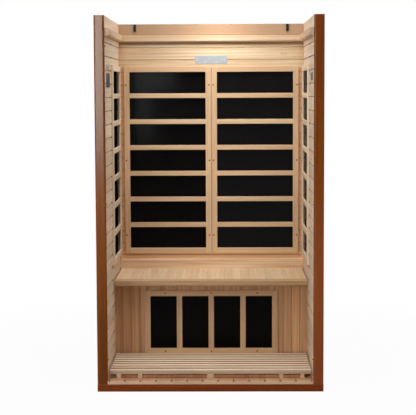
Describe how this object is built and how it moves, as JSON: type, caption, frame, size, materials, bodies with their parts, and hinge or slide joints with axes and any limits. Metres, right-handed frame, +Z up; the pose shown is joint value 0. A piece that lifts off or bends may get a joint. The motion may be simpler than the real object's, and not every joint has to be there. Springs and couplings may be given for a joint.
{
  "type": "infrared sauna cabin",
  "caption": "Open-fronted infrared sauna cabin with boarded walls, heater panels behind guard frames, a bench with a sliding seat and a loose slatted duckboard.",
  "frame": {"origin": "middle of the base's footprint, on the surface that the cabin stands on", "axes": "+Z up, +X to the right of someone who looks in, the open front faces -Y"},
  "size_m": [1.148, 0.97, 1.9],
  "materials": {
    "softwood": "sanded, unvarnished",
    "stained_wood": "red-brown stain under satin varnish",
    "heater_black": "matt black heater sheet",
    "lead_rubber": "matt black moulding"
  },
  "bodies": {
    "cabin": {"base_front_rail": "stained_wood", "base_rear_rail": "stained_wood", "base_left_rail": "stained_wood", "base_right_rail": "stained_wood", "base_joist": "softwood", "floor_boards": "softwood", "left_front_stile": "stained_wood", "left_rear_stile": "stained_wood", "left_cladding": "stained_wood", "left_top_rail": "softwood", "left_bottom_rail": "softwood", "left_heater_guard": "softwood", "left_heater_panel": "heater_black", "left_lining": "softwood", "left_roof_ledge": "softwood", "right_front_stile": "stained_wood", "right_rear_stile": "stained_wood", "right_cladding": "stained_wood", "right_top_rail": "softwood", "right_bottom_rail": "softwood", "right_heater_guard": "softwood", "right_heater_panel": "heater_black", "right_lining": "softwood", "right_roof_ledge": "softwood", "back_left_heater_guard": "softwood", "back_left_heater_panel": "heater_black", "back_right_heater_guard": "softwood", "back_right_heater_panel": "heater_black", "back_lining": "softwood", "back_cladding": "stained_wood", "back_top_rail": "softwood", "back_bottom_rail": "softwood", "back_left_stud": "softwood", "back_right_stud": "softwood", "back_roof_ledge": "softwood", "back_left_heater_lead": "lead_rubber", "back_right_heater_lead": "lead_rubber", "calf_heater_guard": "softwood", "calf_heater_panel": "heater_black", "bench_panel": "softwood", "bench_left_cleat": "softwood", "bench_right_cleat": "softwood", "bench_back_cleat": "softwood", "bench_skirting": "softwood"},
    "bench_seat": {"seat_board": "softwood", "seat_nosing": "softwood"},
    "duckboard": {"duckboard_bearer_1": "softwood", "duckboard_bearer_2": "softwood", "duckboard_bearer_3": "softwood", "duckboard_bearer_4": "softwood", "duckboard_bearer_5": "softwood", "duckboard_slat_1": "softwood", "duckboard_slat_2": "softwood", "duckboard_slat_3": "softwood", "duckboard_slat_4": "softwood", "duckboard_slat_5": "softwood", "duckboard_slat_6": "softwood", "duckboard_slat_7": "softwood", "duckboard_slat_8": "softwood"}
  },
  "joints": [
    {"name": "bench_seat_slide", "type": "slide", "parent": "cabin", "child": "bench_seat", "axis": [0, -1, 0], "range_m": [0, 0.93]},
    {"name": "duckboard_slide", "type": "slide", "parent": "cabin", "child": "duckboard", "axis": [0, -1, 0], "range_m": [0, 0.52]}
  ]
}
